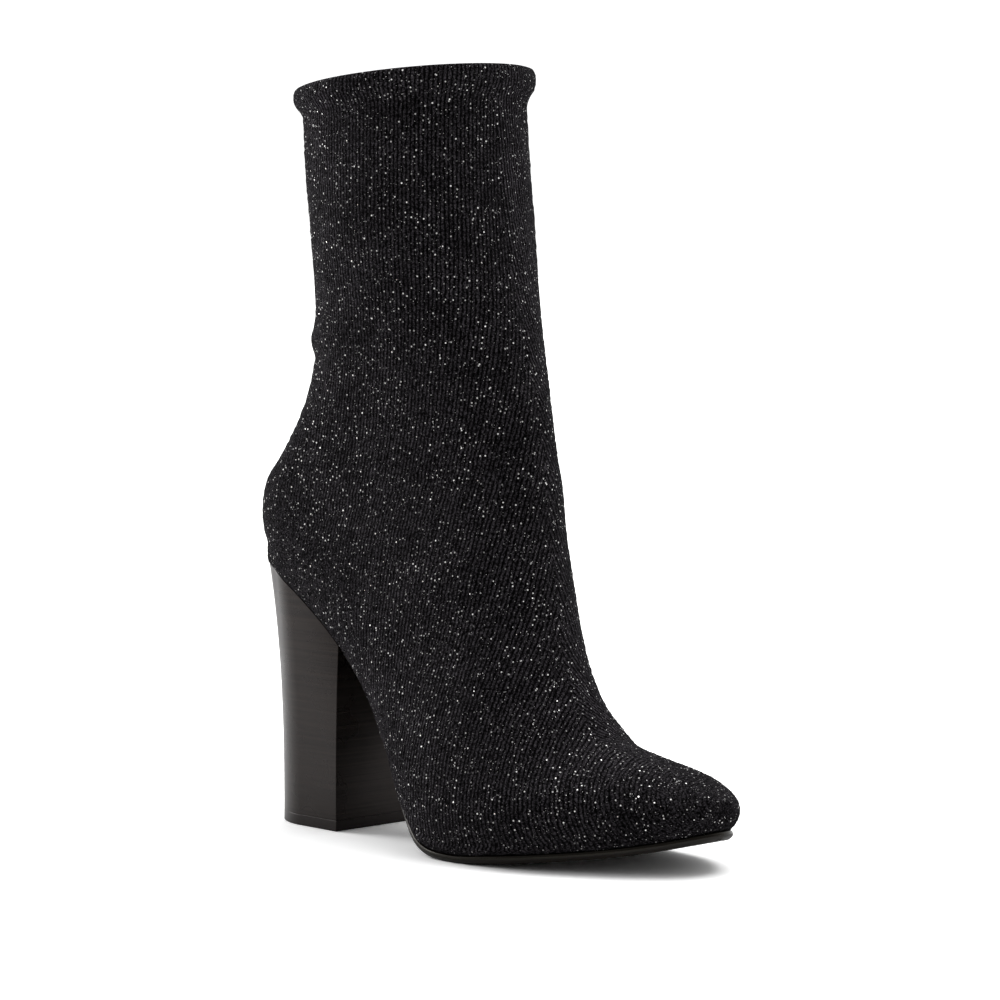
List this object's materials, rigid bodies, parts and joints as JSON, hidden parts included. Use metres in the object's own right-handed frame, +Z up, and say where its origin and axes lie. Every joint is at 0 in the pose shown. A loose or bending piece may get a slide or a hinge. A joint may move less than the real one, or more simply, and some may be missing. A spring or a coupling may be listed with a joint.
{
  "type": "sock boot",
  "caption": "Right-foot knitted sock boot on a high block heel, with a rolled cuff, a thin edged sole and an open collar.",
  "frame": {"origin": "middle of the boot's footprint box, on the ground plane that the heel and the forefoot stand on", "axes": "+X to the toe, +Y to the inner side of the foot, +Z up; the boot stands on z = 0"},
  "size_m": [0.2248, 0.0898, 0.2909],
  "materials": {
    "knit": "black rib knit with fine silver glitter",
    "sole": "polished near-black edge",
    "heel": "polished dark brown-grey with fine level lines",
    "tip": "matt black",
    "lining": "plain soft lining"
  },
  "bodies": {
    "root": {"upper": "knit", "outsole": "sole", "heel_block": "heel", "heel_tip": "tip", "insole": "lining"}
  },
  "joints": []
}
